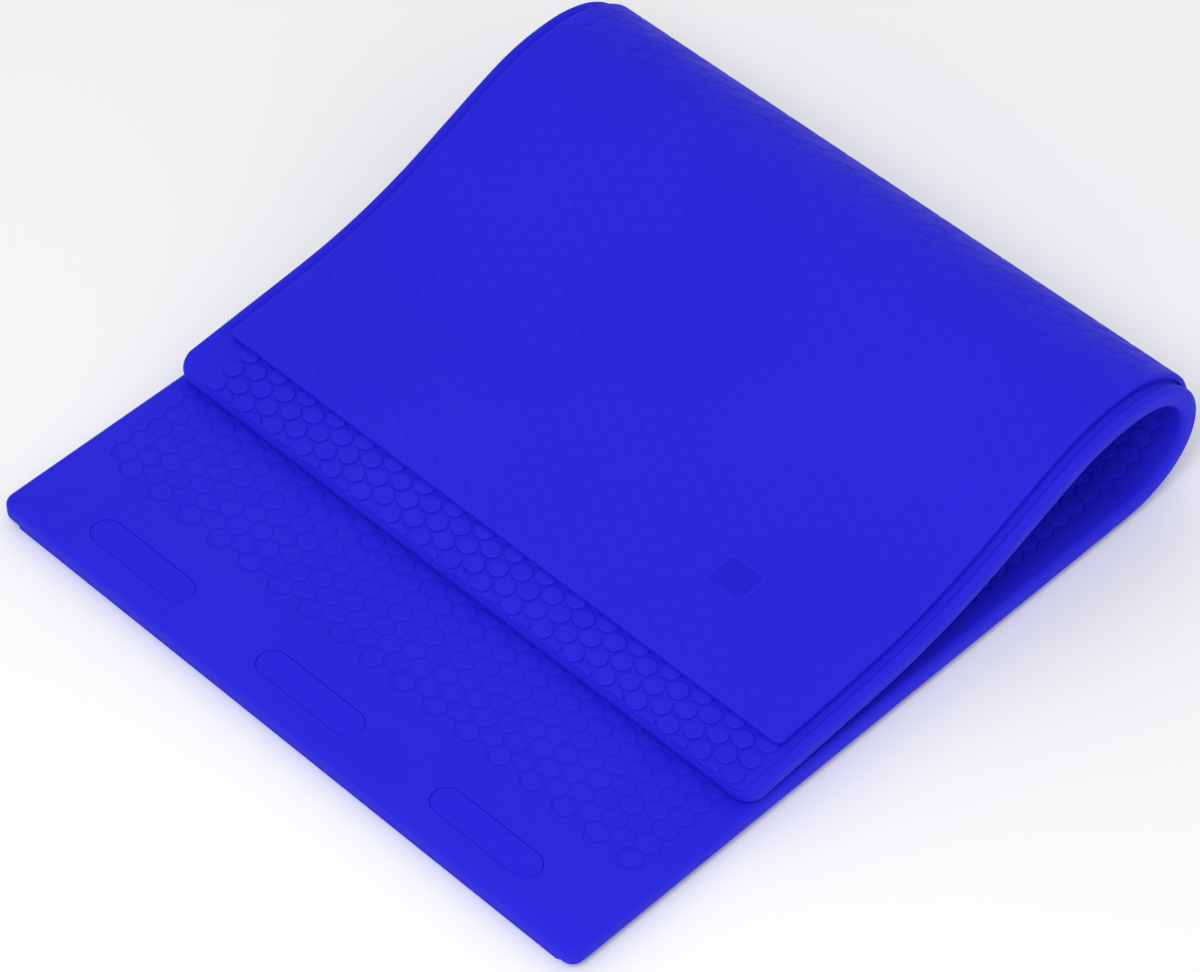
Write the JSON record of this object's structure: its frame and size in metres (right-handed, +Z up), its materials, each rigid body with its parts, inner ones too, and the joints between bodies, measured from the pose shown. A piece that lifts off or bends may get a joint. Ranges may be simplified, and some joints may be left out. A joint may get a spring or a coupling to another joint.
{
  "type": "folding gymnastics mat",
  "caption": "Long flexible two-layer mat with a hexagon tread, folded over on itself into a low wedge; unfolds flat.",
  "frame": {"origin": "on the floor, under the middle of the folded mat's outline", "axes": "+Z up, X across the width, +Y from the open near edge towards the fold"},
  "size_m": [0.61, 0.6756, 0.1374],
  "materials": {
    "core_skin": "smooth moulded skin, slight sheen, hexagon grip pattern on the working faces",
    "pad_skin": "smooth moulded skin with a shallow hexagon pattern",
    "fastener_pile": "short matt loop pile",
    "badge_skin": "smooth, matt"
  },
  "bodies": {
    "lower_run": {"core_lower_run": "core_skin", "pad_lower_run": "pad_skin", "fastener_patch_1": "fastener_pile", "fastener_patch_2": "fastener_pile", "fastener_patch_3": "fastener_pile"},
    "fold_01": {"core_fold_01": "core_skin", "pad_fold_01": "pad_skin"},
    "fold_02": {"core_fold_02": "core_skin", "pad_fold_02": "pad_skin"},
    "fold_03": {"core_fold_03": "core_skin", "pad_fold_03": "pad_skin"},
    "fold_04": {"core_fold_04": "core_skin", "pad_fold_04": "pad_skin"},
    "fold_05": {"core_fold_05": "core_skin", "pad_fold_05": "pad_skin"},
    "fold_06": {"core_fold_06": "core_skin", "pad_fold_06": "pad_skin"},
    "fold_07": {"core_fold_07": "core_skin", "pad_fold_07": "pad_skin"},
    "fold_08": {"core_fold_08": "core_skin", "pad_fold_08": "pad_skin"},
    "fold_09": {"core_fold_09": "core_skin", "pad_fold_09": "pad_skin"},
    "fold_10": {"core_fold_10": "core_skin", "pad_fold_10": "pad_skin"},
    "fold_11": {"core_fold_11": "core_skin", "pad_fold_11": "pad_skin"},
    "upper_run_1": {"core_upper_run_1": "core_skin", "pad_upper_run_1": "pad_skin"},
    "upper_run_2": {"core_upper_run_2": "core_skin", "pad_upper_run_2": "pad_skin"},
    "upper_run_3": {"core_upper_run_3": "core_skin", "pad_upper_run_3": "pad_skin"},
    "free_end": {"core_free_end": "core_skin", "pad_free_end": "pad_skin", "blank_badge": "badge_skin"}
  },
  "joints": [
    {"name": "unfold", "type": "hinge", "parent": "lower_run", "child": "fold_01", "pos_m": [0, 0.27219, 0.0135], "axis": [-1, 0, 0], "range_deg": [0, 16.94]},
    {"name": "bend_02", "type": "hinge", "parent": "fold_01", "child": "fold_02", "pos_m": [0, 0.29499, 0.02045], "axis": [-1, 0, 0], "range_deg": [0, 16.94]},
    {"name": "bend_03", "type": "hinge", "parent": "fold_02", "child": "fold_03", "pos_m": [0, 0.30902, 0.02987], "axis": [-1, 0, 0], "range_deg": [0, 16.94]},
    {"name": "bend_04", "type": "hinge", "parent": "fold_03", "child": "fold_04", "pos_m": [0, 0.31801, 0.0409], "axis": [-1, 0, 0], "range_deg": [0, 16.94]},
    {"name": "bend_05", "type": "hinge", "parent": "fold_04", "child": "fold_05", "pos_m": [0, 0.32312, 0.0534], "axis": [-1, 0, 0], "range_deg": [0, 16.94]},
    {"name": "bend_06", "type": "hinge", "parent": "fold_05", "child": "fold_06", "pos_m": [0, 0.32439, 0.06707], "axis": [-1, 0, 0], "range_deg": [0, 16.94]},
    {"name": "bend_07", "type": "hinge", "parent": "fold_06", "child": "fold_07", "pos_m": [0, 0.32147, 0.08126], "axis": [-1, 0, 0], "range_deg": [0, 16.94]},
    {"name": "bend_08", "type": "hinge", "parent": "fold_07", "child": "fold_08", "pos_m": [0, 0.31387, 0.0952], "axis": [-1, 0, 0], "range_deg": [0, 16.94]},
    {"name": "bend_09", "type": "hinge", "parent": "fold_08", "child": "fold_09", "pos_m": [0, 0.30083, 0.10801], "axis": [-1, 0, 0], "range_deg": [0, 16.94]},
    {"name": "bend_10", "type": "hinge", "parent": "fold_09", "child": "fold_10", "pos_m": [0, 0.28094, 0.11839], "axis": [-1, 0, 0], "range_deg": [0, 16.94]},
    {"name": "bend_11", "type": "hinge", "parent": "fold_10", "child": "fold_11", "pos_m": [0, 0.25109, 0.12397], "axis": [-1, 0, 0], "range_deg": [0, 16.94]},
    {"name": "bend_12", "type": "hinge", "parent": "fold_11", "child": "upper_run_1", "pos_m": [0, 0.20181, 0.1185], "axis": [-1, 0, 0], "range_deg": [0, 16.94]},
    {"name": "bend_13", "type": "hinge", "parent": "upper_run_1", "child": "upper_run_2", "pos_m": [0, 0.08975, 0.07028], "axis": [-1, 0, 0], "range_deg": [-6, 0]},
    {"name": "bend_14", "type": "hinge", "parent": "upper_run_2", "child": "upper_run_3", "pos_m": [0, 0.042, 0.05543], "axis": [-1, 0, 0], "range_deg": [-6, 0]},
    {"name": "bend_15", "type": "hinge", "parent": "upper_run_3", "child": "free_end", "pos_m": [0, -0.00507, 0.04604], "axis": [-1, 0, 0], "range_deg": [-6, 0]}
  ],
  "couplings": [
    {"joint": "bend_02", "follows": "unfold", "ratio": 1},
    {"joint": "bend_03", "follows": "unfold", "ratio": 1},
    {"joint": "bend_04", "follows": "unfold", "ratio": 1},
    {"joint": "bend_05", "follows": "unfold", "ratio": 1},
    {"joint": "bend_06", "follows": "unfold", "ratio": 1},
    {"joint": "bend_07", "follows": "unfold", "ratio": 1},
    {"joint": "bend_08", "follows": "unfold", "ratio": 1},
    {"joint": "bend_09", "follows": "unfold", "ratio": 1},
    {"joint": "bend_10", "follows": "unfold", "ratio": 1},
    {"joint": "bend_11", "follows": "unfold", "ratio": 1},
    {"joint": "bend_12", "follows": "unfold", "ratio": 1},
    {"joint": "bend_13", "follows": "unfold", "ratio": -0.35419},
    {"joint": "bend_14", "follows": "unfold", "ratio": -0.35419},
    {"joint": "bend_15", "follows": "unfold", "ratio": -0.35419}
  ]
}
